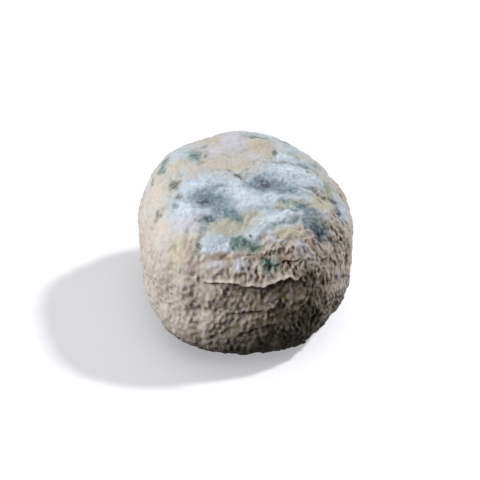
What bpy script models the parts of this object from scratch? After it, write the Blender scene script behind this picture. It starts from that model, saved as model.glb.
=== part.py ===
"""A crottin: a small uneven drum of matured goat cheese with a wrinkled rind.

The cheese is one solid. It starts as a diced cube whose points are sent out to a rounded drum,
and the rind's relief is then added as heights above that drum: broad swells and hollows, a fold
of loose rind that hangs over the front, creases, and the crinkled network of ridges and pits.

The origin is on the table, under the middle of the cheese, and the front faces -Y.
"""

import math

import bmesh
import bpy
from mathutils import Vector, noise

MM = 0.001

# The drum's own sizes, all in millimetres until the mesh is made.
BREADTH = 50.0
HEIGHT = 35.6
GIRTH_HEIGHT = 16.9
TOP_ROUNDING = 2.76
FOOT_ROUNDING = 4.05
FOOT_TRIM = 0.55

# The cheese slumped as it drained: its top leans back and its back left edge stands highest.
LEAN_BACK = 0.083
TOP_TILT_X = -0.061
TOP_TILT_Y = 0.101

# The plan is not quite round: how many bulges go round, how far each stands out, where one lies.
PLAN_BULGES = (
    (2, 0.39, -87.0),
    (3, 0.16, 0.0),
    (4, 0.33, -31.0),
    (5, 0.43, 13.6),
)

# Broad swells and hollows: the middle of each one (across, back, up), its reach, and how far the
# rind moves out there. The ones on the top are where mould has sunk in or lifted the rind.
SWELLS = (
    ((-15.3, 9.8, 34.5), 5.0, 0.90),
    ((-1.7, 15.9, 35.9), 5.0, 0.60),
    ((-8.5, 12.6, 36.0), 3.5, -0.35),
    ((19.3, 1.9, 30.8), 6.0, -0.55),
    ((23.5, -5.0, 22.7), 5.0, 0.60),
    ((21.6, -12.4, 14.7), 6.0, -0.50),
    ((-18.8, -17.5, 14.2), 6.5, -0.40),
    ((-21.7, -10.5, 20.7), 5.0, 0.35),
    ((2.0, -24.0, 19.0), 5.0, -0.35),
    ((-7.7, -7.9, 34.7), 3.6, -0.75),
    ((4.6, -2.2, 35.2), 3.2, -0.90),
    ((9.0, -12.5, 32.0), 3.0, -0.70),
    ((-0.3, -7.8, 34.6), 4.0, 0.35),
    ((12.5, -6.0, 32.5), 4.0, 0.40),
    ((-12.5, 16.0, 24.0), 7.0, 0.45),
    ((10.0, 21.0, 17.0), 6.5, -0.50),
    ((22.0, 9.0, 12.0), 6.0, 0.45),
    ((-23.0, 5.0, 12.0), 6.0, -0.45),
    ((-10.0, 22.0, 9.0), 6.0, 0.40),
    ((6.0, 12.0, 35.0), 4.5, -0.45),
)

# The fold of loose rind that hangs over the front runs along a wandering line, from one azimuth
# and height to another. It keeps the end share of its full height at its ends, and then dies out.
FOLD_START = (-112.0, 24.9)
FOLD_END = (-52.0, 23.2)
FOLD_SAG = 0.9
FOLD_WANDER = 1.2
FOLD_LIP = 0.75
FOLD_UNDERCUT = 0.60
FOLD_LIP_WIDTH = 2.6
FOLD_UNDERCUT_WIDTH = 3.4
FOLD_TURN = 1.3
FOLD_END_SHARE = 0.55
FOLD_END_FADE = 2.5

# The rind is drawn tight next to the fold, so the crinkles are shallower within this distance.
TIGHT_REACH = 3.6
TIGHT_SHARE = 0.65

# Creases pressed into the rind: start and end, each in azimuth and height, and depth.
CREASES = (
    ((-122.0, 27.0), (-96.0, 31.0), 0.55),
    ((-86.0, 26.2), (-55.0, 26.0), 0.45),
    ((-116.0, 16.0), (-72.0, 16.5), 0.40),
    ((-14.0, 33.0), (8.0, 27.0), 0.60),
    ((-100.0, 9.0), (-60.0, 8.0), 0.35),
    ((40.0, 18.0), (85.0, 20.0), 0.45),
    ((140.0, 21.0), (172.0, 17.0), 0.40),
    ((-172.0, 13.0), (-145.0, 15.0), 0.35),
)
CREASE_WIDTH = 1.5
CREASE_WANDER = 1.6
TURNS_PER_DEGREE = 0.11

# The crinkles: a network of ridges round pits that are taller than they are wide.
PIT_BREADTH = 3.5
PIT_STRETCH = 1.6
PIT_WARP = 0.7
WARP_FINENESS = 0.6
PIT_DEPTH = 1.05
PIT_STEEPNESS = 1.8
PIT_RISE_SHARE = 0.45
TOP_CRINKLE_SHARE = 0.22
LUMP_BREADTH = 9.0
LUMP_HEIGHT = 0.45
SMOOTH_ABOVE = 31.0
CRINKLED_BELOW = 25.0
TOP_LINE_FADE = 3.0
FOOT_FADE = 2.2

# The relief stands a little more upright than a ray from the middle of the drum.
RELIEF_UPRIGHT = 1.3

# How finely the starting cube is diced, and how far sharp spikes are drawn in afterwards.
DICE = 31
SPIKE_SOFTENING = 0.25
RIND_COLOUR = (0.58, 0.50, 0.42, 1.0)


def clear_scene():
    for item in list(bpy.data.objects):
        bpy.data.objects.remove(item)


def ramp(value, low, high):
    """0 below low and 1 above high, easing between them."""
    share = min(1.0, max(0.0, (value - low) / (high - low)))
    return share * share * (3.0 - 2.0 * share)


def plan_radius(azimuth):
    radius = BREADTH / 2
    for bulges, reach, at in PLAN_BULGES:
        radius += reach * math.cos(bulges * (azimuth - math.radians(at)))
    return radius


def drum_point(direction):
    """Where a ray from the middle of the drum meets its rounded outer form."""
    azimuth = math.atan2(direction.y, direction.x)
    if direction.z > 0:
        power, half_height = TOP_ROUNDING, HEIGHT - GIRTH_HEIGHT
    else:
        power, half_height = FOOT_ROUNDING, GIRTH_HEIGHT + FOOT_TRIM
    out = math.hypot(direction.x, direction.y) / plan_radius(azimuth)
    up = abs(direction.z) / half_height
    point = direction * (out**power + up**power) ** (-1.0 / power)
    point.z += GIRTH_HEIGHT
    point.z += (point.z / HEIGHT) ** 2 * (TOP_TILT_X * point.x + TOP_TILT_Y * point.y)
    point.y += LEAN_BACK * (point.z - GIRTH_HEIGHT)
    return point


def degrees_apart(first, second):
    return (first - second + 180.0) % 360.0 - 180.0


def arc_length(degrees):
    """How far round the girth an angle reaches, in millimetres."""
    return math.radians(degrees) * BREADTH / 2


def line_distance(azimuth, height, start, end, wander):
    """Height above a wandering line on the rind, and how far past its ends the point lies."""
    span = degrees_apart(end[0], start[0])
    along = degrees_apart(azimuth, start[0]) / span
    inside = min(1.0, max(0.0, along))
    past = abs(arc_length((along - inside) * span))
    sway = wander * noise.noise(Vector((azimuth * TURNS_PER_DEGREE, start[1], 0.0)))
    line_height = start[1] + (end[1] - start[1]) * inside + sway
    return height - line_height, past, inside


def fold_place(azimuth, height):
    """Height above the fold's line, and the share of its full form that the fold has there."""
    above, past, along = line_distance(azimuth, height, FOLD_START, FOLD_END, FOLD_WANDER)
    hang = math.sin(math.pi * along)
    share = FOLD_END_SHARE + (1.0 - FOLD_END_SHARE) * hang
    return above + FOLD_SAG * hang, share * math.exp(-((past / FOLD_END_FADE) ** 2))


def fold_relief(above, fade):
    """The lip stands out just above the line, and the rind is drawn in below it."""
    if above >= 0.0:
        return FOLD_LIP * fade * math.exp(-((above / FOLD_LIP_WIDTH) ** 2))
    under = math.exp(-((above / FOLD_UNDERCUT_WIDTH) ** 2))
    rise = ramp(above, -FOLD_TURN, 0.0)
    return fade * (FOLD_LIP * rise - FOLD_UNDERCUT * (1.0 - rise)) * under


def crease_relief(azimuth, height):
    deepest = 0.0
    for start, end, depth in CREASES:
        above, past, _ = line_distance(azimuth, height, start, end, CREASE_WANDER)
        gap = math.hypot(above, past)
        deepest = max(deepest, depth * math.exp(-((gap / CREASE_WIDTH) ** 2)))
    return -deepest


def swell_relief(point):
    total = 0.0
    for middle, reach, rise in SWELLS:
        gap = (point - Vector(middle)).length
        total += rise * math.exp(-((gap / reach) ** 2))
    return total


def pit_relief(point):
    """0 on the ridges of a cell network and down to -PIT_DEPTH in the pits between them."""
    place = Vector((point.x, point.y, point.z / PIT_STRETCH)) / PIT_BREADTH
    place += PIT_WARP * noise.noise_vector(place * WARP_FINENESS)
    nearest = noise.voronoi(place)[0]
    return -PIT_DEPTH * ramp(nearest[1] - nearest[0], 0.0, 1.0 / PIT_STEEPNESS)


def rind_relief(point):
    """How far the rind stands out of the plain drum at this point."""
    azimuth = math.degrees(math.atan2(point.y, point.x))
    height = point.z
    crinkled = 1.0 - (1.0 - TOP_CRINKLE_SHARE) * ramp(height, CRINKLED_BELOW, SMOOTH_ABOVE)
    lumps = LUMP_HEIGHT * noise.noise(point / LUMP_BREADTH)
    above, fade = fold_place(azimuth, height)
    crinkled *= 1.0 - TIGHT_SHARE * fade * math.exp(-((above / TIGHT_REACH) ** 2))
    crinkles = pit_relief(point) + PIT_DEPTH * PIT_RISE_SHARE
    on_side = 1.0 - ramp(height, SMOOTH_ABOVE, SMOOTH_ABOVE + TOP_LINE_FADE)
    lines = (fold_relief(above, fade) + crease_relief(azimuth, height)) * on_side
    return swell_relief(point) + lumps + lines + crinkled * crinkles


def rind_point(direction):
    """The finished surface: the drum, the relief, and a flat foot."""
    point = drum_point(direction)
    outwards = Vector((point.x, point.y, (point.z - GIRTH_HEIGHT) * RELIEF_UPRIGHT)).normalized()
    point += outwards * rind_relief(point) * ramp(point.z, -FOOT_TRIM, FOOT_FADE)
    point.z = max(0.0, point.z)
    return point


def even_direction(corner):
    """Spreads a diced cube's points evenly over the directions of a ball."""
    return Vector([math.tan(side * math.pi / 4) for side in corner]).normalized()


def stand_on_origin(mesh):
    """Centres the cheese over the origin, with its foot on the table."""
    for axis in (0, 1):
        places = [vertex.co[axis] for vertex in mesh.verts]
        middle = (min(places) + max(places)) / 2
        for vertex in mesh.verts:
            vertex.co[axis] -= middle


def rind_material():
    material = bpy.data.materials.new("matured goat cheese rind")
    material.use_nodes = True
    shader = material.node_tree.nodes["Principled BSDF"]
    shader.inputs["Base Color"].default_value = RIND_COLOUR
    shader.inputs["Roughness"].default_value = 0.85
    shader.inputs["Metallic"].default_value = 0.0
    return material


def build_cheese(collection):
    mesh = bmesh.new()
    bmesh.ops.create_cube(mesh, size=2.0)
    bmesh.ops.subdivide_edges(mesh, edges=mesh.edges[:], cuts=DICE - 1, use_grid_fill=True)
    for vertex in mesh.verts:
        vertex.co = rind_point(even_direction(vertex.co)) * MM
    bmesh.ops.smooth_vert(
        mesh,
        verts=mesh.verts,
        factor=SPIKE_SOFTENING,
        use_axis_x=True,
        use_axis_y=True,
        use_axis_z=True,
    )
    stand_on_origin(mesh)
    data = bpy.data.meshes.new("crottin")
    mesh.to_mesh(data)
    mesh.free()
    data.shade_smooth()
    data.materials.append(rind_material())
    cheese = bpy.data.objects.new("crottin", data)
    collection.objects.link(cheese)


def main():
    clear_scene()
    collection = bpy.data.collections.new("crottin goat cheese")
    bpy.context.scene.collection.children.link(collection)
    build_cheese(collection)


main()
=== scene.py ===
"""The looks of a matured crottin: its crinkled rind, its folds and the mould on its top.

The rind is a fine ball drawn onto the solid. Its points are then moved to the relief, and fields
over them, such as how crinkled or how mouldy it is, say where the material lays its colours.

Lengths are in millimetres until a mesh or a light is made. The front faces -Y, the top +Z, and
azimuth is counted in degrees from +X towards +Y, so the middle of the front lies at -90.
"""

import math

import bpy
import numpy as np
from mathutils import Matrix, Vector, noise


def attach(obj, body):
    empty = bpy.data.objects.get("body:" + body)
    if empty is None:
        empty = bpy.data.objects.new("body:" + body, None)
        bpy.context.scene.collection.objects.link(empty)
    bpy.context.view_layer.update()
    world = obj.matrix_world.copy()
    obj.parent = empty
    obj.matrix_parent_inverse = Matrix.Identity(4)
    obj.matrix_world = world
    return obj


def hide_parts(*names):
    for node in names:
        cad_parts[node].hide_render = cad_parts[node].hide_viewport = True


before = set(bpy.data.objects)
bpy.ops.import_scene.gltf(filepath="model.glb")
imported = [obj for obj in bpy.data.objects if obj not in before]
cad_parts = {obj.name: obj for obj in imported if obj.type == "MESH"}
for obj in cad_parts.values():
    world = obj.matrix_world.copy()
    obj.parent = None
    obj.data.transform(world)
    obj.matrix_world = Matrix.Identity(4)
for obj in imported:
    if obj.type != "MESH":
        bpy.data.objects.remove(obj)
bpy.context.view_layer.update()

MM = 0.001

# The photograph's frame, and how the camera stands to it.
FRAME_PIXELS = 480
PIXELS_PER_MM = 4.329
CAMERA_DISTANCE = 500.0
CAMERA_ELEVATION = 38.0
CAMERA_AIM = (-0.2, -0.32, 18.0)
AIM_PIXEL = (244.4, 238.5)
SENSOR = 36.0

# The blank: a fine ball drawn onto the solid from its middle, and then evened out in rounds.
MIDDLE_HEIGHT = 17.0
BALL_RADIUS = 45.0
BALL_FINENESS = 8
EVENING_ROUNDS = 3
EVENING_PASSES = 14
FACET_SMOOTHING = 10

# What the finished rind is thinned out to.
RIND_TRIANGLES = 198000

# What a point takes from its neighbours together in one pass of blurring: mostly, and at most.
NEIGHBOURS = 6
SHARED = 0.6
MOST_SHARED = 0.75

# The cheese's mean radius, and the heights between which the marks of its top set in.
MEAN_RADIUS = 25.0
TOP_STARTS = (19.0, 24.0)

# How far a lip runs out past its ends, and the heights of its lower edge, of the hollow below it
# and of that hollow's upper edge.
LIP_END = 1.6
LIP_EDGE = 0.35
HOLLOW_HEIGHT = 1.5
HOLLOW_EDGE = 0.5

# How far the foot is tucked in on the left and on the right of the front.
FOOT_TUCK = 0.9

# The board that the cheese stands on.
BOARD_SIZE = 4000.0


def srgb(code):
    """A hex colour as Blender's linear colour."""
    values = [int(code[i:i + 2], 16) / 255 for i in (1, 3, 5)]
    linear = [v / 12.92 if v <= 0.04045 else ((v + 0.055) / 1.055) ** 2.4 for v in values]
    return (*linear, 1.0)


def ramp(value, low, high):
    """0 below low and 1 above high, easing between them, on numbers or arrays."""
    share = np.clip((value - low) / (high - low), 0.0, 1.0)
    return share * share * (3.0 - 2.0 * share)


def place_camera():
    """Stands the camera where the photograph was taken from."""
    aim = Vector(CAMERA_AIM) * MM
    tilt = math.radians(CAMERA_ELEVATION)
    back = Vector((0.0, -math.cos(tilt), math.sin(tilt)))
    camera = bpy.data.cameras.new("camera")
    camera.sensor_width = SENSOR
    camera.lens = SENSOR * PIXELS_PER_MM * CAMERA_DISTANCE / FRAME_PIXELS
    camera.clip_start = 0.01
    camera.shift_x = (FRAME_PIXELS / 2 - AIM_PIXEL[0]) / FRAME_PIXELS
    camera.shift_y = (AIM_PIXEL[1] - FRAME_PIXELS / 2) / FRAME_PIXELS
    holder = bpy.data.objects.new("camera", camera)
    holder.location = aim + back * CAMERA_DISTANCE * MM
    holder.rotation_euler = (math.radians(90.0 - CAMERA_ELEVATION), 0.0, 0.0)
    bpy.context.scene.collection.objects.link(holder)
    bpy.context.scene.camera = holder


def apply_modifier(piece, kind, **settings):
    """Adds one modifier with its settings and applies it."""
    bpy.context.view_layer.objects.active = piece
    modifier = piece.modifiers.new(kind.lower(), kind)
    for name, value in settings.items():
        setattr(modifier, name, value)
    bpy.ops.object.modifier_apply(modifier=modifier.name)


def solid_to_follow():
    """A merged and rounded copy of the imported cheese, for the rind to be drawn onto."""
    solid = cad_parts["crottin"]
    form = bpy.data.objects.new("form", solid.data.copy())
    bpy.context.scene.collection.objects.link(form)
    bpy.ops.object.select_all(action="DESELECT")
    form.select_set(True)
    bpy.context.view_layer.objects.active = form
    apply_modifier(form, "WELD", merge_threshold=1e-6)
    apply_modifier(form, "SUBSURF", levels=2, render_levels=2)
    apply_modifier(form, "SMOOTH", factor=0.5, iterations=40)
    return form


def blank_rind():
    """A closed fine mesh with even spacing that lies on the solid."""
    form = solid_to_follow()
    bpy.ops.object.select_all(action="DESELECT")
    bpy.ops.mesh.primitive_ico_sphere_add(
        subdivisions=BALL_FINENESS, radius=BALL_RADIUS * MM, location=(0.0, 0.0, MIDDLE_HEIGHT * MM)
    )
    piece = bpy.context.object
    piece.name = "crottin_rind"
    bpy.ops.object.transform_apply(location=True, rotation=False, scale=False)
    apply_modifier(
        piece, "SHRINKWRAP", target=form, wrap_method="PROJECT",
        use_negative_direction=True, use_positive_direction=False,
    )
    for _ in range(EVENING_ROUNDS):
        apply_modifier(piece, "SMOOTH", factor=0.5, iterations=EVENING_PASSES)
        apply_modifier(piece, "SHRINKWRAP", target=form, wrap_method="NEAREST_SURFACEPOINT")
    apply_modifier(piece, "SMOOTH", factor=0.5, iterations=FACET_SMOOTHING)
    bpy.data.objects.remove(form)
    return piece


class Surface:
    """The blank's points in millimetres, their normals and neighbours, and fields over them."""

    def __init__(self, mesh):
        count = len(mesh.vertices)
        self.points = np.empty(count * 3)
        mesh.vertices.foreach_get("co", self.points)
        self.points = self.points.reshape(-1, 3) / MM
        self.normals = np.empty(count * 3)
        mesh.vertex_normals.foreach_get("vector", self.normals)
        self.normals = self.normals.reshape(-1, 3)
        self.neighbours = self.find_neighbours(mesh, count)
        self.azimuth = np.degrees(np.arctan2(self.points[:, 1], self.points[:, 0]))
        self.height = self.points[:, 2]
        self.vectors = [Vector(p) for p in self.points]

    @staticmethod
    def find_neighbours(mesh, count):
        """The neighbours of each point. The twelve points that have only five count one twice."""
        ends = np.empty(len(mesh.edges) * 2, dtype=np.int64)
        mesh.edges.foreach_get("vertices", ends)
        ends = ends.reshape(-1, 2)
        both = np.concatenate([ends, ends[:, ::-1]])
        both = both[np.argsort(both[:, 0], kind="stable")]
        starts = np.searchsorted(both[:, 0], np.arange(count))
        counts = np.diff(np.append(starts, len(both)))
        slots = starts[:, None] + np.minimum(np.arange(NEIGHBOURS)[None, :], counts[:, None] - 1)
        return both[slots, 1]

    def noise(self, size, seed=0.0, stretch=(1.0, 1.0, 1.0), vectors=None):
        """Smooth noise from about -1 to 1 whose lumps are about that many millimetres wide."""
        scale = Vector((1 / (size * stretch[0]), 1 / (size * stretch[1]), 1 / (size * stretch[2])))
        shift = Vector((seed * 7.3, seed * 3.1, seed * 5.7))
        return np.array([noise.noise(v * scale + shift) for v in vectors or self.vectors])

    def blur(self, field, weights, passes):
        """Lets a field run into its neighbours, by weights that leave the rest at each point."""
        own = 1.0 - weights.sum(axis=1)
        for _ in range(passes):
            field = own * field + (weights * field[self.neighbours]).sum(axis=1)
        return field


def spread_weights(surface, lengthwise, direction):
    """How much each point takes from its neighbours in a pass: more along the direction."""
    reach = surface.points[surface.neighbours] - surface.points[:, None, :]
    distance = np.linalg.norm(reach, axis=2)
    even = np.median(distance)
    along = (reach * direction[:, None, :]).sum(axis=2) / distance
    weights = (even / distance) ** 2 * (1.0 + lengthwise[:, None] * (2.0 * along**2 - 1.0))
    weights *= SHARED / NEIGHBOURS / np.median(weights.mean(axis=1))
    total = weights.sum(axis=1)
    return weights * np.minimum(1.0, MOST_SHARED / total)[:, None]


# Where the crinkles stop below the smooth top: azimuth and height, all the way round.
CRINKLE_EDGE = (
    (-180, 25.0), (-160, 25.5), (-142, 26.4), (-130, 28.0), (-116, 27.6), (-100, 27.2), (-88, 27.6),
    (-76, 29.0), (-66, 31.0), (-55, 31.5), (-38, 30.5), (-20, 30.5), (0, 30.5), (30, 29.5),
    (70, 29.0), (110, 30.0), (150, 28.0), (180, 25.0),
)

# The crinkles: how high the ridges stand, and how much they run upwards rather than level.
RIDGE_HEIGHTS = (
    (-180, 0.30), (-140, 0.34), (-112, 0.38), (-90, 0.44), (-60, 0.50), (-20, 0.40), (60, 0.40),
    (140, 0.42), (180, 0.28),
)
RIDGE_RUNS = (
    (-180, 0.25), (-130, 0.3), (-100, 0.6), (-60, 0.8), (0, 0.8), (60, 0.6), (120, 0.5),
    (180, 0.25),
)

# The rind is painted darker and browner towards the foot, most on the right of the front, which lies in
# shade: painted shade over the foot's own brown. How strongly, and up to what height.
FOOT_SHADE_TONES = (
    (-180, 0.3), (-126, 0.45), (-110, 0.8), (-92, 1.0), (-60, 1.0), (-30, 0.75), (20, 0.45),
    (180, 0.3),
)
FOOT_REACHES = (
    (-180, 10), (-108, 13), (-92, 17), (-78, 22), (-55, 28), (-32, 19), (-10, 12), (180, 10),
)

# A thin pale veil of yeast over the crinkles, laid thickest on the left, where the main light falls, and
# thinnest on the right of the front, which lies in shade: partly painted light and shade.
VEIL_AND_SIDE_LIGHT = (
    (-180, 0.95), (-145, 0.9), (-120, 0.65), (-100, 0.4), (-80, 0.15), (-55, 0.05), (-30, 0.5), (0, 0.6),
    (60, 0.4), (140, 0.6), (180, 0.95),
)

# Lips and furrows on the side, each along points of azimuth and height. A lip stands out by the
# first figure, the rind below it is drawn in by the second, and the third is the lip's width.
LIPS = (
    (((-108, 24.0), (-103, 24.3), (-97, 24.5), (-92, 23.8), (-85, 23.5)), 0.55, 0.25, 0.65),
    (((-85, 23.5), (-77, 23.4), (-72, 24.1), (-67, 24.2), (-63, 23.6)), 0.70, 0.50, 0.6),
    (((-70, 26.9), (-66, 27.2), (-61, 26.9)), 0.40, 0.25, 0.6),
    (((-95, 28.6), (-88, 28.9), (-80, 28.4), (-75, 29.2)), 0.30, 0.15, 0.9),
    (((-90, 11.8), (-84, 12.6), (-78, 13.2)), 0.20, 0.15, 0.8),
    (((-96, 16.9), (-90, 16.7), (-82, 17.0)), 0.15, 0.25, 0.8),
    (((-52, 24.0), (-44, 24.8), (-36, 24.4)), 0.15, 0.18, 0.9),
    (((38, 21.0), (48, 22.4), (60, 22.0), (68, 23.2)), 0.22, 0.28, 0.9),
    (((104, 17.2), (116, 18.6), (130, 18.0)), 0.24, 0.30, 0.9),
    (((150, 21.5), (162, 22.6), (176, 21.8)), 0.18, 0.20, 0.9),
)

# Ridges and, where the height is negative, creases on the top: points across and back, how high
# each stands and how wide it is.
TOP_FOLDS = (
    (((1.5, -16.4), (3.2, -14.4), (5.9, -11.7), (9.9, -9.9), (12.6, -8.5)), 0.22, 1.1),
    (((3.4, -16.6), (5.5, -14.2), (8.6, -12.4), (12.0, -11.2)), -0.25, 0.6),
    (((-9.0, 0.0), (-5.6, 0.6), (-2.4, -0.2), (0.4, -2.4), (2.0, -4.6)), 0.35, 0.9),
    (((-7.0, 1.6), (-3.0, 1.4), (-0.6, 0.2), (1.2, -1.4)), -0.35, 0.6),
    (((12.0, -1.2), (15.4, -0.6), (18.4, -0.8), (20.6, -0.2)), -0.55, 0.45),
    (((6.8, 5.4), (10.0, 6.4), (14.0, 6.6), (17.0, 5.8)), -0.40, 0.6),
    (((8.6, 2.2), (12.0, 3.6), (16.0, 3.4)), 0.40, 1.2),
    (((-9.8, -19.8), (-6.4, -20.2), (-3.0, -18.9), (0.6, -19.6), (4.0, -18.9)), -0.45, 0.6),
    (((-14.0, -9.6), (-9.6, -10.2), (-5.6, -9.0), (-2.0, -11.6)), 0.30, 0.9),
    (((7.0, 12.0), (7.0, 9.0), (6.4, 7.2)), -0.45, 0.6),
    (((-16.8, 2.0), (-15.9, -0.6), (-14.6, -3.8), (-15.6, -7.0)), -0.25, 0.7),
    (((-12.4, -14.6), (-9.4, -15.4), (-10.2, -18.2)), -0.35, 0.8),
    (((5.6, -7.4), (8.4, -6.6), (12.0, -7.8), (15.6, -5.6)), -0.30, 0.8),
    (((18.6, -10.6), (18.0, -7.4), (19.2, -4.6)), 0.45, 0.8),
    (((-1.0, 13.0), (2.0, 17.4), (6.0, 18.2)), -0.35, 0.9),
    (((-13.6, 12.6), (-10.2, 12.8), (-8.6, 9.6)), -0.30, 0.8),
    (((-3.8, -14.6), (-2.6, -13.2)), -0.18, 0.6),
    (((-1.2, -14.8), (-0.9, -12.8)), -0.20, 0.5),
    (((0.6, -13.4), (1.9, -11.9)), -0.22, 0.5),
    (((2.6, -11.6), (2.9, -9.8)), -0.18, 0.6),
    (((-15.4, -16.4), (-14.2, -18.2)), -0.20, 0.7),
    (((-13.0, -15.8), (-13.6, -17.4)), -0.22, 0.6),
    (((-11.9, -17.2), (-10.9, -18.8)), -0.20, 0.7),
)

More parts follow.
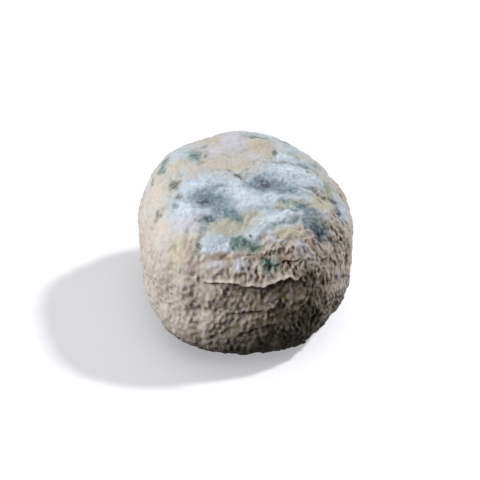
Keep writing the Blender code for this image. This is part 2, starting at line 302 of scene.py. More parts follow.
# Mould and stains on the top and shoulders: what it is, its middle across and back, its two
# reaches, how far its length is turned from +X, and how strong it is.
TOP_PATCHES = (
    ("haze", -6.0, -5.5, 9.5, 6.0, -12, 1.0),
    ("haze", 1.0, -8.0, 6.0, 4.0, -10, 0.9),
    ("haze", 9.0, -1.0, 8.5, 5.0, 8, 0.9),
    ("haze", 7.0, -10.5, 7.5, 3.2, 22, 0.8),
    ("haze", 12.0, 5.5, 6.0, 4.0, 0, 0.8),
    ("haze", -15.0, 11.0, 4.0, 7.0, 10, 0.6),
    ("haze", -6.0, -17.8, 4.6, 2.2, 0, 0.8),
    ("haze", 11.0, 14.0, 6.0, 6.0, 0, 0.6),
    ("haze", 0.0, 21.0, 9.0, 4.0, 0, 0.5),
    ("haze", 21.5, -1.5, 2.0, 4.0, 0, 0.8),
    ("haze", -14.0, -9.5, 3.5, 3.2, 0, 0.6),
    ("yellow", -5.0, -14.4, 3.0, 1.6, 0, 0.7),
    ("yellow", -0.5, -13.4, 2.6, 2.2, 10, 0.9),
    ("tan", -13.8, -17.0, 3.2, 2.6, 0, 0.9),
    ("yellow", -13.6, -17.2, 3.2, 2.4, 0, 0.6),
    ("umber", -12.8, -17.6, 1.9, 1.6, 0, 0.5),
    ("olive", -12.2, -17.2, 1.6, 1.6, 0, 0.2),
    ("yellow", 2.0, -11.4, 1.4, 1.8, 20, 0.8),
    ("tan", 3.9, 11.8, 3.0, 2.6, 0, 0.9),
    ("tan", -2.0, 3.6, 4.0, 1.5, 8, 0.6),
    ("tan", -15.0, 5.2, 2.8, 1.4, 0, 0.6),
    ("yellow", 17.4, -3.4, 2.6, 3.0, 0, 0.9),
    ("yellow", 9.0, -15.2, 2.6, 1.6, -10, 0.9),
    ("yellow", 8.4, -7.8, 1.6, 1.2, 0, 0.7),
    ("tan", -7.0, 14.8, 4.0, 1.8, 0, 0.6),
    ("tan", -20.6, 2.6, 1.6, 2.6, 0, 0.5),
    ("yellow", -10.0, 19.5, 3.0, 1.6, 30, 0.6),
    ("yellow", 12.4, -6.4, 2.4, 1.2, 10, 0.7),
    ("yellow", 16.6, 5.6, 2.6, 1.6, -20, 0.7),
    ("yellow", 18.6, 1.6, 1.6, 1.4, -20, 0.7),
    ("yellow", 11.0, -14.2, 2.2, 1.2, 0, 0.8),
    ("tan", -6.8, -19.6, 3.2, 1.2, 10, 0.6),
    ("tan", 13.4, 10.6, 2.6, 1.6, -20, 0.5),
    ("peach", -19.6, 0.0, 1.6, 3.0, 0, 0.5),
    ("peach", -8.0, 4.4, 3.0, 1.0, 0, 0.8),
    ("peach", -12.0, 2.6, 1.8, 0.8, 0, 0.6),
    ("peach", -4.4, 3.0, 2.0, 0.9, 0, 0.35),
    ("peach", 4.8, 8.6, 1.6, 1.0, 0, 0.5),
    ("peach", -19.5, -9.5, 2.2, 3.0, 0, 0.5),
    ("lilac", -12.6, -12.6, 2.8, 2.6, 0, 0.9),
    ("lilac", -2.8, 14.5, 3.0, 6.0, 0, 0.8),
    ("lilac", -7.6, 8.6, 2.6, 2.2, 0, 0.7),
    ("lilac", 16.0, 3.4, 1.6, 2.2, 0, 0.8),
    ("lilac", -16.6, 12.6, 1.6, 4.2, 10, 0.7),
    ("lilac", 2.2, 7.0, 2.2, 1.4, 0, 0.6),
    ("lilac", -6.8, -21.4, 1.6, 1.0, 0, 0.8),
    ("lilac", -1.8, -21.6, 1.8, 1.2, 0, 0.8),
    ("lilac", 6.2, -16.6, 1.8, 0.9, 10, 0.7),
    ("lilac", 12.6, -16.6, 2.2, 1.2, 0, 0.6),
    ("lilac", 17.6, -7.0, 1.2, 1.6, 0, 0.5),
    ("bloom", -10.6, -2.6, 3.6, 2.0, -8, 0.9),
    ("bloom", -3.2, -5.0, 4.6, 2.4, -12, 1.0),
    ("bloom", 0.8, -7.8, 3.0, 2.4, -20, 1.0),
    ("bloom", -13.4, -6.2, 2.2, 2.2, 0, 0.8),
    ("bloom", -13.2, -9.6, 2.2, 1.2, -20, 0.7),
    ("bloom", -8.8, -10.4, 2.6, 0.7, 0, 0.8),
    ("bloom", -1.4, -2.6, 2.2, 1.4, -30, 0.8),
    # The whitest mould; on the diagonal fold and a few spots it is painted light where the top is lit.
    ("snow_and_highlight", 3.6, -13.8, 2.6, 1.2, 40, 1.0),
    ("snow_and_highlight", 7.0, -11.4, 3.4, 1.2, 20, 1.0),
    ("snow_and_highlight", 11.6, -9.4, 3.0, 0.9, 10, 0.9),
    ("snow_and_highlight", 2.0, -16.0, 1.3, 0.8, 60, 0.8),
    ("snow_and_highlight", -8.0, -19.0, 1.6, 0.8, 20, 0.8),
    ("snow_and_highlight", 9.0, 8.8, 1.6, 1.2, 0, 0.8),
    ("snow_and_highlight", 10.6, 3.6, 3.6, 0.9, 6, 0.8),
    ("snow_and_highlight", -0.5, -7.0, 3.0, 1.4, -20, 0.5),
    ("bloom", 3.6, -13.8, 2.6, 1.3, 40, 1.0),
    ("bloom", 7.0, -11.2, 3.2, 1.2, 20, 1.0),
    ("bloom", 11.8, -9.2, 3.2, 0.9, 10, 0.9),
    ("bloom", -6.8, -18.2, 3.4, 1.3, 0, 1.0),
    ("bloom", -3.8, -17.2, 2.4, 1.0, 10, 0.7),
    ("bloom", 8.8, 8.6, 1.9, 1.6, 0, 1.0),
    ("bloom", 9.6, 3.2, 4.2, 1.7, 6, 1.0),
    ("bloom", 14.2, 2.6, 3.0, 1.7, 0, 1.0),
    ("bloom", 12.5, -4.6, 3.4, 1.2, 5, 0.6),
    ("bloom", 5.8, -6.0, 3.0, 1.4, 0, 0.6),
    ("bloom", 22.6, -2.0, 0.9, 2.0, 0, 0.5),
    ("bloom", 1.8, -16.4, 1.4, 0.9, 0, 0.8),
    ("bloom", 4.5, 19.5, 3.0, 1.6, 0, 0.7),
    ("umber", -4.6, -20.1, 4.2, 1.1, 5, 0.85),
    ("umber", 2.8, -20.0, 2.2, 0.9, 0, 0.8),
    ("umber", 8.6, -19.6, 3.0, 1.1, 8, 0.8),
    ("umber", -10.6, -20.6, 2.2, 1.0, 0, 0.6),
    ("umber", 15.0, -14.6, 1.8, 1.4, 0, 0.6),
    ("umber", 19.6, -4.2, 0.9, 2.6, 0, 0.6),
    ("olive", -16.0, -0.4, 1.3, 1.4, 0, 1.0),
    ("olive", -14.9, -4.7, 1.0, 1.0, 0, 0.9),
    ("olive", -19.8, -6.9, 1.3, 1.3, 0, 1.0),
    ("slate", -19.6, -6.9, 0.6, 0.6, 0, 0.7),
    ("olive", -1.3, 0.0, 0.9, 0.7, 0, 0.9),
    ("olive", -8.7, 7.4, 0.8, 1.0, 0, 0.8),
    ("olive", 6.9, 10.0, 0.5, 1.8, 0, 1.0),
    ("olive", -10.4, 4.4, 1.4, 0.8, 0, 0.6),
    ("olive", 8.2, -8.4, 1.4, 0.7, 0, 0.6),
    ("olive", 17.7, -9.6, 1.0, 1.4, 0, 0.9),
    ("olive", 19.6, -0.6, 1.4, 0.6, 0, 0.8),
    ("olive", 16.6, 0.2, 2.0, 0.4, 0, 0.7),
    ("olive", -10.4, -18.4, 0.7, 1.4, 0, 0.7),
    ("olive", 9.8, 6.0, 2.6, 0.5, 0, 0.6),
    ("olive", 12.2, 9.4, 0.7, 1.4, 0, 0.6),
    ("olive", -17.0, -3.0, 0.5, 0.5, 0, 0.6),
    ("olive", 4.6, 6.6, 1.6, 0.5, 0, 0.5),
    ("olive", -4.6, 7.2, 0.8, 0.4, 0, 0.4),
    ("olive", -14.2, 17.6, 1.2, 0.9, 0, 0.6),
    ("green", 0.4, -18.0, 2.8, 1.2, -5, 1.0),
    ("green", -2.4, -17.0, 1.2, 0.7, 0, 0.7),
    ("green", 5.2, -20.9, 1.9, 1.0, 5, 0.9),
    ("green", -11.6, 7.6, 1.7, 2.4, 0, 0.85),
    ("green", -9.6, 12.0, 0.9, 0.9, 0, 0.7),
    ("green", -18.8, 6.6, 1.0, 2.2, 15, 1.0),
    ("green", -18.4, 9.6, 1.0, 1.4, 0, 0.7),
    ("green", -21.2, 5.2, 0.7, 1.4, 0, 0.7),
    ("green", 2.4, 16.0, 2.6, 0.9, 0, 0.9),
    ("green", 1.8, 23.4, 2.2, 0.8, 0, 0.6),
    ("green", 13.2, 7.4, 1.6, 0.6, 0, 0.5),
    ("green", 10.6, 10.6, 1.0, 1.4, 0, 0.4),
    ("green", 9.6, -6.4, 2.6, 0.9, 5, 0.55),
    ("green", 13.6, -8.2, 2.0, 1.2, 0, 0.6),
    ("green", 15.4, 4.6, 1.8, 0.7, -20, 0.5),
    ("green", 18.4, 2.4, 1.0, 1.6, -10, 0.5),
    ("green", 9.5, 18.5, 1.8, 1.2, 20, 0.7),
    ("teal", -8.2, -6.4, 5.0, 2.6, -14, 0.9),
    ("teal", -4.4, -10.8, 3.6, 1.7, -22, 0.95),
    ("teal", -2.2, -12.4, 1.6, 0.8, -10, 0.6),
    ("teal", -8.9, -14.7, 1.3, 0.7, 0, 0.6),
    ("teal", 9.0, -3.2, 3.2, 1.4, 5, 0.85),
    ("teal", 15.0, -7.4, 2.4, 1.2, 0, 0.8),
    ("teal", 11.6, -8.0, 2.2, 0.8, 15, 0.7),
    ("teal", 5.4, -9.0, 2.2, 0.8, 10, 0.4),
    ("teal", 11.4, 6.4, 3.0, 0.6, 5, 0.6),
    ("teal", -6.4, -3.0, 2.0, 0.8, 0, 0.5),
    ("teal", 4.2, -1.4, 4.6, 2.5, 10, 0.8),
    ("teal", -14.8, 2.2, 1.4, 0.8, 0, 0.3),
    ("slate", -8.6, -7.4, 2.6, 1.1, -6, 0.95),
    ("slate", 4.4, -1.3, 3.2, 1.8, 12, 0.85),
    ("slate", -8.6, -12.6, 2.6, 1.1, 5, 0.95),
    ("slate", -16.1, -7.0, 1.0, 0.6, -20, 0.7),
    ("slate", -6.0, -2.8, 1.5, 0.6, 0, 0.45),
    ("slate", 10.4, -8.7, 1.3, 0.6, 0, 0.8),
    ("slate", 16.0, -11.2, 2.0, 1.9, 0, 0.9),
    ("slate", 16.2, -11.6, 1.2, 1.2, 0, 0.8),
    ("teal", 15.6, -11.0, 2.6, 2.2, 0, 0.6),
    ("slate", 13.6, -10.6, 1.6, 1.0, 0, 0.5),
    ("slate", 20.9, -2.4, 0.9, 2.2, 0, 0.9),
    ("slate", 1.5, -15.9, 0.5, 0.45, 0, 1.0),
    ("slate", 2.8, 16.3, 0.9, 0.5, 0, 0.9),
    ("slate", -12.0, -8.6, 0.8, 0.5, 0, 0.4),
    ("slate", 16.5, 9.5, 1.4, 1.8, 0, 0.5),
)


def round_profile(surface, pairs):
    """A figure given at some azimuths, read at every point."""
    angles, values = zip(*pairs)
    return np.interp(surface.azimuth, angles, values)


def bell(values, middle, width):
    """1 in the middle, falling off to 0 on both sides."""
    return np.exp(-(((values - middle) / width) ** 2))


def ridged(values, sharpness=2.6):
    """Thin crests where noise passes through nought, from 0 to 1."""
    return 1.0 - np.clip(np.abs(values) * sharpness, 0.0, 1.0)


def line_gap(x, y, line):
    """How far points lie from a line through given points."""
    gap = np.full(len(x), 1e9)
    for (x0, y0), (x1, y1) in zip(line, line[1:]):
        share = ((x - x0) * (x1 - x0) + (y - y0) * (y1 - y0)) / ((x1 - x0) ** 2 + (y1 - y0) ** 2)
        share = np.clip(share, 0.0, 1.0)
        gap = np.minimum(gap, np.hypot(x - x0 - share * (x1 - x0), y - y0 - share * (y1 - y0)))
    return gap


def top_folds(surface):
    """The height of the top's ridges and creases."""
    x = surface.points[:, 0] + surface.noise(2.4, 60.0) * 0.9
    y = surface.points[:, 1] + surface.noise(2.4, 61.0) * 0.9
    uneven = 1.0 + 0.6 * surface.noise(2.0, 62.0)
    total = np.zeros(len(x))
    for line, stands, width in TOP_FOLDS:
        total += stands * bell(line_gap(x, y, line), 0.0, width)
    return total * uneven * ramp(surface.height, *TOP_STARTS)


def patch_fields(surface):
    """How thick each mould or stain lies at every point, thickest in the middle of a patch."""
    drift_x = surface.noise(2.6, 1.0) * 0.9 + surface.noise(1.1, 2.0) * 0.7
    drift_y = surface.noise(2.6, 3.0) * 0.8 + surface.noise(1.1, 4.0) * 0.7
    x = surface.points[:, 0] + drift_x
    y = surface.points[:, 1] + drift_y
    on_top = ramp(surface.height, *TOP_STARTS) * ramp(surface.normals[:, 2], -0.2, 0.1)
    bare = {}
    for kind, across, back, reach_x, reach_y, turn, strength in TOP_PATCHES:
        angle = math.radians(turn)
        right = (x - across) * math.cos(angle) + (y - back) * math.sin(angle)
        up = -(x - across) * math.sin(angle) + (y - back) * math.cos(angle)
        gap = np.hypot(right / reach_x, up / reach_y)
        share = strength * np.exp(-0.9 * gap**2) * on_top
        bare[kind] = bare.get(kind, 1.0) * (1.0 - share)
    return {kind: 1.0 - left for kind, left in bare.items()}


def growth_direction(surface):
    """Which way the upright ridges run along the rind, swinging from place to place."""
    upright = np.tile([0.0, 0.0, 1.0], (len(surface.points), 1))
    direction = upright - surface.normals * (upright * surface.normals).sum(axis=1)[:, None]
    # Where the rind lies flat and nothing runs upwards, they run outwards.
    direction += surface.points * [0.0008, 0.0008, 0.0]
    sideways = np.cross(surface.normals, direction)
    swing = surface.noise(5.0, 11.0)[:, None] * 1.3
    direction = direction * np.cos(swing) + sideways * np.sin(swing)
    return direction / np.linalg.norm(direction, axis=1)[:, None]


def worms(surface, rounds=4, feeding_passes=6, starving_passes=13):
    """Ridges that push each other apart as they grow on such a rind, from about -1 to 1."""
    runs = round_profile(surface, RIDGE_RUNS)
    weights = spread_weights(surface, runs, growth_direction(surface))
    weights *= (0.85 + 0.35 * surface.noise(4.5, 13.0))[:, None]
    rng = np.random.default_rng(7)
    field = rng.normal(size=len(surface.points))
    for _ in range(rounds):
        near = surface.blur(field, weights, feeding_passes)
        far = surface.blur(near, weights, starving_passes)
        field = np.tanh(4.0 * (near - far)) + 0.35 * rng.normal(size=len(field))
    # Single specks are blurred away, and broad swells are taken off.
    field = surface.blur(field, weights, 2) - surface.blur(field, weights, 32)
    return field / np.median(np.abs(field)) * 0.4


def crumple(surface):
    """The rind's crinkles, from about -1 in the hollows to 1 on the crests."""
    warp = [surface.noise(2.2, 40 + i) * 0.8 + surface.noise(0.9, 44 + i) * 0.35 for i in range(3)]
    moved = [Vector(p) for p in surface.points + np.stack(warp, axis=1)]
    tall = ridged(surface.noise(1.8, 50.0, (1.0, 1.0, 2.8), moved))
    level = ridged(surface.noise(1.8, 51.0, (1.9, 1.9, 0.9), moved))
    small = ridged(surface.noise(1.0, 52.0, (1.0, 1.0, 2.0), moved), 2.2)
    runs = round_profile(surface, RIDGE_RUNS)
    share = np.clip(runs + 0.9 * surface.noise(4.0, 53.0), 0.0, 1.0)
    folds = tall * share + level * (1.0 - share)
    crests = 0.30 * folds + 0.28 * small
    patchy = np.clip(0.75 + 0.9 * surface.noise(3.0, 54.0), 0.2, 1.4)
    return crests - 0.27 + 0.40 * patchy * worms(surface)


def crinkled_share(surface):
    """1 where the rind is crinkled, and 0 on the smooth top."""
    edge = round_profile(surface, CRINKLE_EDGE)
    drift = 1.6 * surface.noise(4.0, 21.0) + 0.8 * surface.noise(1.6, 22.0)
    return 1.0 - ramp(surface.height + drift, edge - 2.2, edge + 2.2)


def rim_share(surface):
    """1 between the front's ledge and the smooth top, and 0 elsewhere."""
    rim = bell(surface.azimuth, -82.0, 30.0) + bell(surface.azimuth, -35.0, 30.0)
    rim = np.minimum(rim, 1.0) * ramp(surface.height, 23.0, 25.0)
    return rim * (1.0 - ramp(surface.height, 29.5, 32.0))


def relief_height(surface, patches, crinkled, rim):
    """How many millimetres each point stands out of the blank, by crinkles, folds and mould."""
    ridges = crumple(surface)
    liveliness = 1.0 + 0.55 * surface.noise(2.6, 23.0) + 0.3 * surface.noise(1.1, 24.0)
    height = round_profile(surface, RIDGE_HEIGHTS) * ridges * liveliness * (0.06 + 0.94 * crinkled)
    lumps = 0.42 * surface.noise(2.8, 25.0, (1, 1, 1.4)) + 0.20 * surface.noise(1.2, 26.0)
    height += lumps * (0.5 + 0.5 * crinkled)
    # Between the ledge and the smooth top the rind is drawn up into knobs and short folds.
    knobs = ridged(surface.noise(2.4, 70.0) + 0.5 * surface.noise(1.1, 71.0), 2.0)
    height += rim * (0.40 * knobs - 0.15 + 0.10 * ridges * liveliness)
    height += 0.07 * surface.noise(0.6, 27.0)

    # On the right of the top the mould stands up like cotton.
    cotton = 0.35 + 0.65 * ramp(surface.points[:, 0] + 0.4 * surface.points[:, 1], -4.0, 6.0)
    tufts = ridged(surface.noise(1.5, 33.0) + 0.4 * surface.noise(0.7, 34.0), 2.2) - 0.35
    height += 0.24 * cotton * tufts * (1.0 - crinkled)
    # Pale mould hides what it grows on and puffs up. Dark mould lies a little lower.
    pale = np.clip(patches["bloom"] + 0.7 * patches["lilac"], 0.0, 1.0)
    dark = sum(patches[kind] for kind in ("slate", "teal", "green", "olive"))
    dark = np.clip(dark, 0.0, 1.0)
    puff = 0.18 + 0.20 * surface.noise(1.3, 28.0) + 0.16 * surface.noise(0.6, 29.0)
    height = height * (1.0 - 0.5 * pale) + puff * pale - 0.12 * dark * (1.0 - 0.5 * pale)
    return height + top_folds(surface)


def lip_fields(surface, wobble, line, width):
    """Two shares for a line on the side: on its lip just above it, and in the hollow below it."""
    angles, heights = zip(*line)
    inside = np.clip(surface.azimuth, angles[0], angles[-1])
    past = np.abs(np.radians(surface.azimuth - inside)) * MEAN_RADIUS
    above = surface.height + wobble - np.interp(surface.azimuth, angles, heights)
    fade = bell(past, 0.0, LIP_END)
    lip = fade * np.where(above >= 0, bell(above, 0.0, width), ramp(above, -LIP_EDGE, 0.0))
    below = fade * np.where(above < 0, bell(above, 0.0, HOLLOW_HEIGHT), 0.0)
    return lip, below * ramp(-above, 0.0, HOLLOW_EDGE)


def add_lips(surface, shift, outwards):
    """Adds the lips and hollows to the shift, and returns how strong both are at every point."""
    wobble = 0.55 * surface.noise(1.9, 30.0) + 0.25 * surface.noise(0.8, 31.0)
    lips = np.zeros(len(shift))
    hollows = np.zeros(len(shift))
    for line, stands, drawn_in, width in LIPS:
        lip, below = lip_fields(surface, wobble, line, width)
        # A lip smooths out the crinkles on it, stands out and sags.
        shift *= (1.0 - 0.6 * lip)[:, None]
        shift += outwards * (stands * lip - drawn_in * below)[:, None]
        shift[:, 2] -= 0.30 * stands * lip
        # Each lip's strength feeds the painted highlight along it, and each hollow's the painted shade
        # below it.
        lips = np.maximum(lips, lip * min(2.0 * stands, 1.0))
        hollows = np.maximum(hollows, below * drawn_in)
    return lips, hollows


def tucked_share(surface):
    """Where the foot is tucked in: on the left and on the right of the front."""
    tucked = bell(surface.azimuth, -128.0, 22.0) * (1.0 - ramp(surface.height, 0.0, 9.0))
    tucked += bell(surface.azimuth, -34.0, 20.0) * (1.0 - ramp(surface.height, 4.0, 16.0))
    return tucked * ramp(np.hypot(surface.points[:, 0], surface.points[:, 1]), 8.0, 18.0)


def foot_shade_share(surface):
    """How much darker and browner the rind is painted towards the foot: painted shade over its own
    brown.
    """
    reach = round_profile(surface, FOOT_REACHES)
    low = 1.0 - ramp(surface.height + 1.5 * surface.noise(3.0, 32.0), 0.25 * reach, 0.95 * reach)
    uneven = np.clip(0.92 + 0.4 * surface.noise(1.8, 35.0), 0.0, 1.0)
    return low * round_profile(surface, FOOT_SHADE_TONES) * uneven


def sculpt(surface):
    """Moves the blank's points to the finished relief and returns the fields the finish needs."""
    fields = patch_fields(surface)
    crinkled = crinkled_share(surface)
    rim = rim_share(surface)
    height = relief_height(surface, fields, crinkled, rim)

    shift = surface.normals * height[:, None]
    outwards = surface.points * [1.0, 1.0, 0.0]
    outwards /= np.linalg.norm(outwards, axis=1)[:, None] + 1e-9
    lips, hollows = add_lips(surface, shift, outwards)
    # The relief fades out towards the flat underside.
    shift *= ramp(surface.height, 0.3, 5.0)[:, None]
    surface.points = surface.points + shift - FOOT_TUCK * outwards * tucked_share(surface)[:, None]
    surface.points[:, 2] = np.maximum(surface.points[:, 2], 0.0)

    # A point's relief is told against the rind around it: 0.5 is level with it, 1 is a crest. Lips count
    # as crests and the hollows below them as lower, so the colours paint a highlight on the lips and
    # shade below them.
    relief = height + 0.5 * lips - hollows
    even = np.full(surface.neighbours.shape, 0.1)
    around = surface.blur(relief, even, 14)
    fields["relief"] = np.clip(0.5 + (relief - around) * 1.1, 0.0, 1.0)
    # A pale line along each lip: painted highlight on its edge.
    fields["lip"] = np.clip(lips * 1.6 - 0.5, 0.0, 1.0)
    # Darker under each lip: painted shade below the overhang.
    fields["under"] = np.clip(hollows * 1.4, 0.0, 1.0)
    fields["crinkled"] = crinkled
    # Paler on the left where the light falls: partly painted light.
    fields["veil"] = np.maximum(round_profile(surface, VEIL_AND_SIDE_LIGHT), 0.6 * rim)
    # Darker and browner towards the foot: painted shade over the foot's own brown.
    fields["foot"] = foot_shade_share(surface)
    return fields


def write_fields(mesh, fields):
    """Keeps the fields on the mesh, where the rind's material reads them."""
    for name, values in fields.items():
        layer = mesh.attributes.new(name, "FLOAT", "POINT")
        layer.data.foreach_set("value", np.clip(values, 0.0, 1.0).astype(np.float32))


def make_rind():
    piece = blank_rind()
    mesh = piece.data
    surface = Surface(mesh)
    fields = sculpt(surface)
    mesh.vertices.foreach_set("co", (surface.points * MM).ravel())
    write_fields(mesh, fields)
    mesh.update()
    apply_modifier(piece, "DECIMATE", ratio=RIND_TRIANGLES / len(mesh.polygons))
    mesh.shade_smooth()
    return piece


# The fields of the rind that its material reads, besides its moulds and stains.
RIND_FIELDS = ("relief", "crinkled", "veil", "under", "foot", "lip")

# The rind's own unevenness: the width of its lumps in millimetres, their detail, how rough they
# are and the seed.
CLOUDS = {
    "broad": (5.0, 2.0, 0.6, 0.0),
    "middling": (1.6, 3.0, 0.6, 0.0),
    "fine": (0.45, 2.0, 0.6, 0.0),
    "grit": (0.2, 1.0, 0.6, 0.0),
    "mauve yeast": (3.0, 3.0, 0.6, 7.0),
    "damp": (2.2, 3.0, 0.6, 8.0),
    "thin yeast": (1.1, 3.0, 0.6, 5.0),
    "young mould": (1.5, 5.0, 0.7, 3.0),
    "young tufts": (0.9, 4.0, 0.65, 6.0),
    "spores": (0.9, 3.0, 0.6, 30.0),
    "spore groups": (2.8, 2.0, 0.5, 31.0),
}

# Sums of fields: what each starts from, and what it adds, times how much. The first is high on crests
# and low in hollows, and the colours go darker where it is low, as painted shade in the hollows; pale is
# the same with the veil added, which is partly painted light; bare is the smooth top, and grain is what
# stands out finer than the mesh.
SUMS = {
    "crests_and_shaded_hollows": (-0.15, (("relief", 1.0), ("fine", 0.3), ("creased", 0.22), ("crinkled", -0.11))),
    "pale": (0.0, (("crests_and_shaded_hollows", 1.0), ("veil", 0.22))),
    "bare": (1.0, (("crinkled", -0.85),)),
    "grain": (0.0, (("fine", 0.5), ("grit", 0.3), ("creased", 2.0))),
}

# Colours laid over one another: each one's colour, how much it covers at the most, and what thins
# it out. That is a field as it is, or one eased from none at its first figure to all at its second.
TOP_GROUND = "#c3bfb8"
TOP_COLOURS = (
    ("#ccc6c4", 1.0, (("broad", 0.35, 0.65),)),
    ("#b9b4a3", 0.6, (("middling", 0.46, 0.66),)),
    # Darker in the top's hollows: painted shade.
    ("#8f8173", 0.8, (("crests_and_shaded_hollows", 0.46, 0.15),)),
)
SIDE_GROUND = "#776754"
SIDE_COLOURS = (
    # Paler on the crests and dark brown in the hollows: the rind's own tones, with painted shade
    # deepening the hollows.
    ("#cbc1bb", 1.0, (("pale", 0.12, 0.85),)),
    ("#483824", 0.85, (("pale", 0.28, 0.02),)),
    ("#8c7448", 0.65, (("middling", 0.46, 0.62), ("pale", 0.66, 0.30))),
    ("#c0b1b3", 0.65, (("mauve yeast", 0.48, 0.60), ("pale", 0.1, 0.6))),
    ("#b2a680", 0.65, (("damp", 0.51, 0.62), ("pale", 0.0, 0.5))),
    ("#c6c0a8", 0.35, (("broad", 0.5, 0.7),)),
    # Dark brown under each lip: painted shade below its overhang.
    ("#4a3828", 0.7, (("under",),)),
    # The veil, thickest on the left where the light falls: partly painted light.
    ("#cac3bc", 0.9, (("veil",), ("thin yeast", 0.30, 0.65))),
    # Darker and browner towards the foot: painted shade over the foot's own brown.
    ("#32271a", 0.95, (("foot",),)),
    # Pale along each lip: painted highlight on the edge that catches the light.
    ("#eadfce", 0.85, (("lip",),)),
)

# Young growths all over the top, grey specks with paler tufts between them, and spores on the
# pale mould, half a millimetre wide and in loose groups.
YOUNG_GROWTHS = (
    ("#8a9592", 0.36, (("young mould", 0.50, 0.68), ("bare",))),
    ("#d9dde0", 0.40, (("young tufts", 0.52, 0.70), ("bare",))),
    ("#6a7b80", 0.40, (("spores", 0.52, 0.68), ("spore groups", 0.46, 0.60), ("mould", 0.15, 0.5))),
)

# Moulds and stains, in the order they are laid: the colours of the thin wash and of the core, and
# how much each of the two covers at the most.
STAINS = {
    "haze": ("#bdcad3", "#d0dae3", 0.85, 0.5),
    "tan": ("#c9c1ae", "#b6aa8e", 0.85, 0.6),
    "yellow": ("#c4c1ad", "#b2ac8f", 0.85, 0.6),
    "peach": ("#d3c4b8", "#d0b098", 0.7, 0.5),
    "lilac": ("#c8c7d0", "#d5d4de", 0.8, 0.5),
    "bloom": ("#bfceda", "#dae5ee", 0.9, 0.85),
    # The whitest mould, also laid as painted light on the diagonal fold and a few bright spots.
    "snow_and_highlight": ("#cbd7e0", "#e4ebf1", 0.6, 0.75),
    "umber": ("#b7a399", "#86705f", 0.75, 0.7),
    "olive": ("#a6a79b", "#575c54", 0.8, 0.85),
    "green": ("#859a94", "#4c6962", 0.8, 0.85),
    "teal": ("#8299a1", "#5b747c", 0.8, 0.8),
    "slate": ("#84919a", "#4a575f", 0.8, 0.9),
}

# A dry, slightly waxy surface that lets a little light in, to a depth of 0.8 mm.
RIND_FINISH = {
    "Roughness": 0.78,
    "Specular IOR Level": 0.2,
    "Sheen Weight": 0.05,
    "Sheen Roughness": 0.6,
    "Subsurface Weight": 0.06,
    "Subsurface Radius": (1.0, 0.6, 0.4),
    "Subsurface Scale": 0.8 * MM,
}

# How deep the grain goes that is finer than the mesh.
GRAIN_DEPTH = 0.09


def add_node(tree, kind, settings=None, inputs=None, output=0):
    """Adds a shader node with its settings, its inputs' values and links, and returns an output."""
    node = tree.nodes.new("ShaderNode" + kind)
    for name, value in (settings or {}).items():
        setattr(node, name, value)
    for name, value in (inputs or {}).items():
        if isinstance(value, bpy.types.NodeSocket):
            tree.links.new(value, node.inputs[name])
        else:
            node.inputs[name].default_value = srgb(value) if isinstance(value, str) else value
    return node.outputs[output]


def rind_fields(tree):
    """What the rind's colours go by, by name: its own fields, its unevenness and their sums."""
    fields = {}
    for name in (*RIND_FIELDS, *STAINS):
        fields[name] = add_node(tree, "Attribute", {"attribute_name": name}, output="Fac")

    place = add_node(tree, "TexCoord", output="Object")
    clouds = dict(CLOUDS)
    sums = dict(SUMS)
    for seed, name in enumerate(STAINS, start=10):
        clouds[name + " cloud"] = (2.2, 4.0, 0.65, seed)
        clouds[name + " spots"] = (0.9, 4.0, 0.7, seed + 0.5)
        sums[name + " near"] = (-0.45, ((name, 1.0), (name + " cloud", 0.9)))
        sums[name + " deep"] = (-1.1, ((name + " near", 1.0), (name + " spots", 2.2)))
    for name, (size, detail, rough, seed) in clouds.items():
        # An object coordinate is a metre, so a lump of that many millimetres is 1000 / size.
        inputs = {"Vector": place, "W": seed, "Scale": 1000.0 / size, "Detail": detail}
        inputs["Roughness"] = rough
        fields[name] = add_node(tree, "TexNoise", {"noise_dimensions": "4D"}, inputs)

    # Creases finer than the mesh, 0.9 mm apart and drawn out upwards, for the bump and for painted shade
    # in the colour.
    stretched = add_node(tree, "Mapping", inputs={"Vector": place, "Scale": (1.0, 1.0, 0.5)})
    inputs = {"Vector": stretched, "Scale": 1000.0 / 1.6, "Detail": 2.0, "Distortion": 0.6}
    creases = add_node(tree, "TexNoise", {"noise_type": "RIDGED_MULTIFRACTAL"}, inputs)
    inputs = {"Value": creases, "From Min": 0.2, "From Max": 1.1}
    skin = add_node(tree, "MapRange", {"interpolation_type": "SMOOTHSTEP"}, inputs)
    inputs = {0: skin, 1: fields["crinkled"]}
    fields["creased"] = add_node(tree, "Math", {"operation": "MULTIPLY"}, inputs)

    for name, (total, parts) in sums.items():
        for part, weight in parts:
            inputs = {0: fields[part], 1: weight, 2: total}
            total = add_node(tree, "Math", {"operation": "MULTIPLY_ADD"}, inputs)
        fields[name] = total
    fields["mould"] = fields["bloom"]
    for name in ("haze", "teal"):
        inputs = {0: fields["mould"], 1: fields[name]}
        fields["mould"] = add_node(tree, "Math", {"operation": "MAXIMUM"}, inputs)
    return fields


def paint(tree, colour, layers, fields):
    """Lays colours over a first one, each as much as its strength and its fields say."""
    for over, share, thinned_by in layers:
        for name, *limits in thinned_by:
            value = fields[name]
            if limits:
                inputs = {"Value": value, "From Min": limits[0], "From Max": limits[1]}
                value = add_node(tree, "MapRange", {"interpolation_type": "SMOOTHSTEP"}, inputs)
            share = add_node(tree, "Math", {"operation": "MULTIPLY"}, {0: share, 1: value})
        # A Mix node's inputs 6 and 7 and its output 2 are the ones for colours.
        inputs = {"Factor": share, 6: colour, 7: over}
        colour = add_node(tree, "Mix", {"data_type": "RGBA"}, inputs, 2)
    return colour


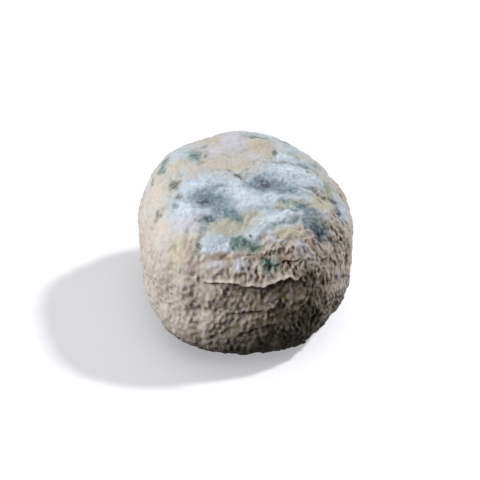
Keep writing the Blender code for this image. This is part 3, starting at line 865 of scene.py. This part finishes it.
def rind_material():
    """Goat cheese rind, grown by yeasts and moulds while it dries.

    Matt and slightly waxy: pinkish beige ridges, brown hollows with painted shade, a cream top with
    powdery bloom.
    """
    material = bpy.data.materials.new("goat cheese rind, mould ripened")
    material.use_nodes = True
    tree = material.node_tree
    fields = rind_fields(tree)

    top = paint(tree, TOP_GROUND, TOP_COLOURS, fields)
    side = paint(tree, SIDE_GROUND, SIDE_COLOURS, fields)
    colour = paint(tree, top, ((side, 1.0, (("crinkled",),)),), fields)
    for name, (wash, core, wash_most, core_most) in STAINS.items():
        layers = (
            (wash, wash_most, ((name + " near", 0.08, 0.62), (name, 0.01, 0.12))),
            (core, core_most, ((name + " deep", 0.36, 1.02), (name, 0.08, 0.3))),
        )
        colour = paint(tree, colour, layers, fields)
    colour = paint(tree, colour, YOUNG_GROWTHS, fields)

    shader = tree.nodes["Principled BSDF"]
    for name, value in RIND_FINISH.items():
        shader.inputs[name].default_value = value
    tree.links.new(colour, shader.inputs["Base Color"])
    inputs = {"Strength": 0.5, "Distance": GRAIN_DEPTH * MM, "Height": fields["grain"]}
    tree.links.new(add_node(tree, "Bump", inputs=inputs), shader.inputs["Normal"])
    return material


def floor_material():
    """Smooth white board, matt, as under a studio light."""
    material = bpy.data.materials.new("white board")
    material.use_nodes = True
    shader = material.node_tree.nodes["Principled BSDF"]
    shader.inputs["Base Color"].default_value = (0.77, 0.77, 0.80, 1.0)
    shader.inputs["Roughness"].default_value = 0.9
    shader.inputs["Specular IOR Level"].default_value = 0.1
    return material


def make_floor():
    """A board far larger than the cheese, which throws none of its light back onto it."""
    bpy.ops.object.select_all(action="DESELECT")
    bpy.ops.mesh.primitive_plane_add(size=BOARD_SIZE * MM, location=(0.0, 0.0, 0.0))
    floor = bpy.context.object
    floor.name = "floor"
    floor.data.materials.append(floor_material())
    floor.visible_diffuse = False
    return floor


def soft_light(name, azimuth, elevation, distance, size, brightness):
    """A square light that gives a white surface facing it that brightness."""
    light = bpy.data.lights.new(name, "AREA")
    light.size = size
    light.energy = brightness * math.pi**2 * distance**2
    holder = bpy.data.objects.new(name, light)
    a, e = math.radians(azimuth), math.radians(elevation)
    towards = Vector((math.cos(a) * math.cos(e), math.sin(a) * math.cos(e), math.sin(e)))
    holder.location = towards * distance + Vector((0.0, 0.0, MIDDLE_HEIGHT * MM))
    holder.rotation_mode = "QUATERNION"
    holder.rotation_quaternion = towards.to_track_quat("Z", "Y")
    bpy.context.scene.collection.objects.link(holder)
    return holder


def light_scene(floor, rind):
    """Soft light on the cheese from the left and the right, and on the board from above."""
    on_cheese = bpy.data.collections.new("lit cheese")
    on_cheese.objects.link(rind)
    on_floor = bpy.data.collections.new("lit board")
    on_floor.objects.link(floor)
    # Name, azimuth, elevation, distance and size in metres, brightness, what is lit, and what
    # casts a shadow, where that isn't everything.
    lights = (
        ("main light", -164.0, 36.0, 1.0, 0.6, 1.36, on_cheese, None),
        ("right light", 26.0, 14.0, 1.0, 0.8, 1.45, on_cheese, None),
        ("board light", 0.0, 89.0, 0.8, 1.4, 1.78, on_floor, on_floor),
        ("shadow light", 18.0, 48.0, 1.0, 0.09, 0.70, on_floor, None),
    )
    for *placed, lit, shades in lights:
        holder = soft_light(*placed)
        holder.light_linking.receiver_collection = lit
        holder.light_linking.blocker_collection = shades
    world = bpy.data.worlds.new("room")
    world.use_nodes = True
    world.node_tree.nodes["Background"].inputs["Color"].default_value = (1.0, 1.0, 1.0, 1.0)
    world.node_tree.nodes["Background"].inputs["Strength"].default_value = 0.02
    bpy.context.scene.world = world
    bpy.context.scene.view_settings.view_transform = "Standard"


def main():
    place_camera()
    rind = make_rind()
    rind.data.materials.append(rind_material())
    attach(rind, "root")
    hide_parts("crottin")
    light_scene(make_floor(), rind)


main()
